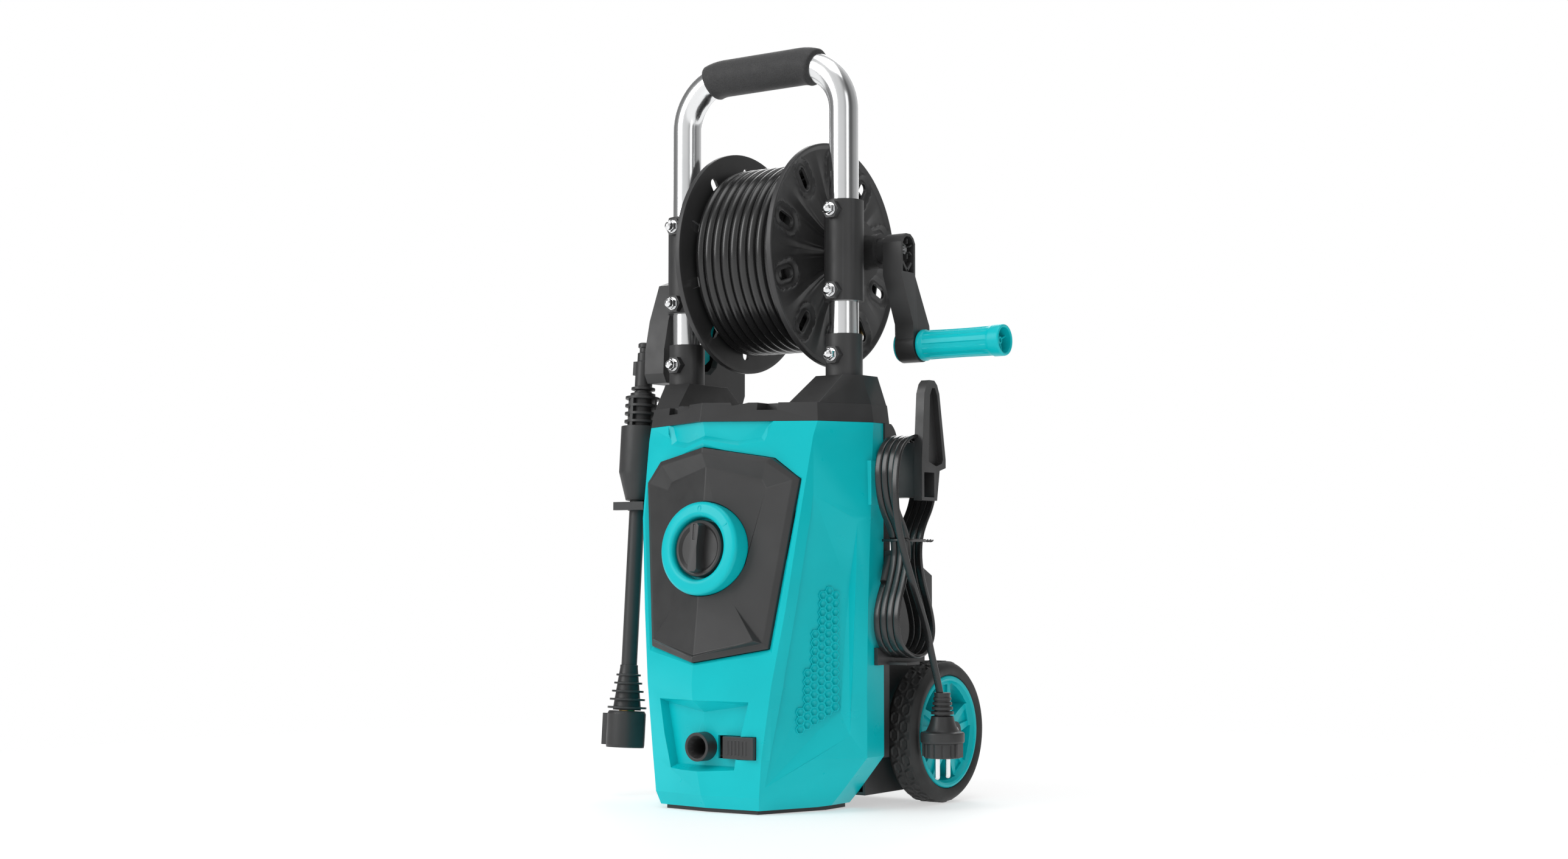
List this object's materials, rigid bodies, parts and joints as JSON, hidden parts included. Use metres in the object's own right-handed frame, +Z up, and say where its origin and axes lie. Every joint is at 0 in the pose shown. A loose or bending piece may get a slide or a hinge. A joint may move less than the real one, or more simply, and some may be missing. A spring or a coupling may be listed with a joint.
{
  "type": "pressure washer",
  "caption": "Upright electric pressure washer with a tubular handle, a hose reel with a crank, a spray gun and lance at its side, a cable hook and a pair of wheels.",
  "frame": {"origin": "on the floor, under the point midway between the handle's tubes and in their plane", "axes": "+Z up, -Y towards the switch side, +X towards the crank and the cable"},
  "size_m": [0.41, 0.2884, 0.722],
  "materials": {
    "teal_plastic": "satin",
    "black_plastic": "fine grain",
    "foam": "matte foam",
    "aluminium_tube": "polished",
    "bright_steel": "bright",
    "steel": "plain",
    "brass": "machined",
    "rubber": "smooth",
    "tyre": "matte",
    "cast_aluminium": "cast",
    "wrap": "film"
  },
  "bodies": {
    "chassis": {"axle": "steel", "axle_caps": "black_plastic", "base_tray": "black_plastic", "cable_gland": "black_plastic", "cable_hook_lower": "black_plastic", "cable_hook_upper": "black_plastic", "cable_tie": "black_plastic", "cap_nuts": "bright_steel", "capacitor": "wrap", "case_screws": "steel", "cord_hank": "rubber", "dial_ring": "teal_plastic", "front_panel": "black_plastic", "front_shell": "teal_plastic", "gun_holster": "black_plastic", "handle_bolts": "steel", "handle_grip": "foam", "handle_tube": "aluminium_tube", "inlet_connector": "black_plastic", "lance_holder": "black_plastic", "motor_case": "cast_aluminium", "outlet_port": "black_plastic", "plug_body": "black_plastic", "plug_pins": "bright_steel", "power_cord": "rubber", "pump_head": "cast_aluminium", "pump_pistons": "steel", "rear_shell": "black_plastic", "reel_bracket_left": "black_plastic", "reel_bracket_right": "black_plastic", "switch_box": "black_plastic", "swivel_inlet": "black_plastic", "top_deck": "black_plastic", "tube_sockets": "black_plastic"},
    "switch": {"switch_knob": "black_plastic"},
    "latch": {"outlet_latch": "black_plastic"},
    "wheel_left": {"tyre_left": "tyre", "rim_left": "teal_plastic"},
    "wheel_right": {"tyre_right": "tyre", "rim_right": "teal_plastic"},
    "reel": {"reel_drum": "black_plastic", "reel_flange_left": "black_plastic", "reel_flange_right": "black_plastic", "reel_shaft": "black_plastic", "hose_winding": "rubber", "hose_fitting": "brass", "crank_arm": "black_plastic", "crank_screw": "steel"},
    "knob": {"crank_knob": "teal_plastic"},
    "gun": {"gun_body": "black_plastic", "gun_coupling": "brass"},
    "trigger": {"gun_trigger": "teal_plastic"},
    "lock": {"gun_lock": "black_plastic"},
    "lance": {"lance_tube": "black_plastic", "lance_grip": "black_plastic", "lance_bayonet": "black_plastic", "nozzle_cage": "black_plastic", "nozzle_insert": "brass"},
    "nozzle": {"nozzle_head": "black_plastic"},
    "rotor": {"motor_rotor": "steel"}
  },
  "joints": [
    {"name": "wheel_left_spin", "type": "hinge", "parent": "chassis", "child": "wheel_left", "pos_m": [-0.127, 0.1066, 0.0674], "axis": [1, 0, 0], "continuous": true},
    {"name": "wheel_right_spin", "type": "hinge", "parent": "chassis", "child": "wheel_right", "pos_m": [0.127, 0.1066, 0.0674], "axis": [1, 0, 0], "continuous": true},
    {"name": "reel_spin", "type": "hinge", "parent": "chassis", "child": "reel", "pos_m": [0, 0.0409, 0.5249], "axis": [1, 0, 0], "continuous": true},
    {"name": "knob_spin", "type": "hinge", "parent": "reel", "child": "knob", "pos_m": [0.139, 0.065, 0.4351], "axis": [1, 0, 0], "continuous": true},
    {"name": "switch_turn", "type": "hinge", "parent": "chassis", "child": "switch", "pos_m": [0, -0.0982, 0.2413], "axis": [0, -0.9951, 0.0985], "range_deg": [-50, 0]},
    {"name": "latch_slide", "type": "slide", "parent": "chassis", "child": "latch", "axis": [-1, 0, 0], "range_m": [0, 0.008]},
    {"name": "gun_lift", "type": "slide", "parent": "chassis", "child": "gun", "axis": [0, 0, 1], "range_m": [0, 0.075]},
    {"name": "trigger_squeeze", "type": "hinge", "parent": "gun", "child": "trigger", "pos_m": [-0.128, 0.087, 0.48], "axis": [1, 0, 0], "range_deg": [0, 9], "stiffness_Nm_per_rad": 0.6, "springref_deg": -17.19},
    {"name": "lock_flip", "type": "hinge", "parent": "trigger", "child": "lock", "pos_m": [-0.128, 0.0634, 0.4395], "axis": [1, 0, 0], "range_deg": [-60, 0]},
    {"name": "lance_out", "type": "slide", "parent": "chassis", "child": "lance", "axis": [-1, 0, 0], "range_m": [0, 0.05]},
    {"name": "nozzle_turn", "type": "hinge", "parent": "lance", "child": "nozzle", "pos_m": [-0.153, -0.02, 0.047], "axis": [0, 0.0748, 0.9972], "range_deg": [0, 90]},
    {"name": "rotor_spin", "type": "hinge", "parent": "chassis", "child": "rotor", "pos_m": [0, 0.01, 0.2], "axis": [0, 0, 1], "continuous": true}
  ]
}
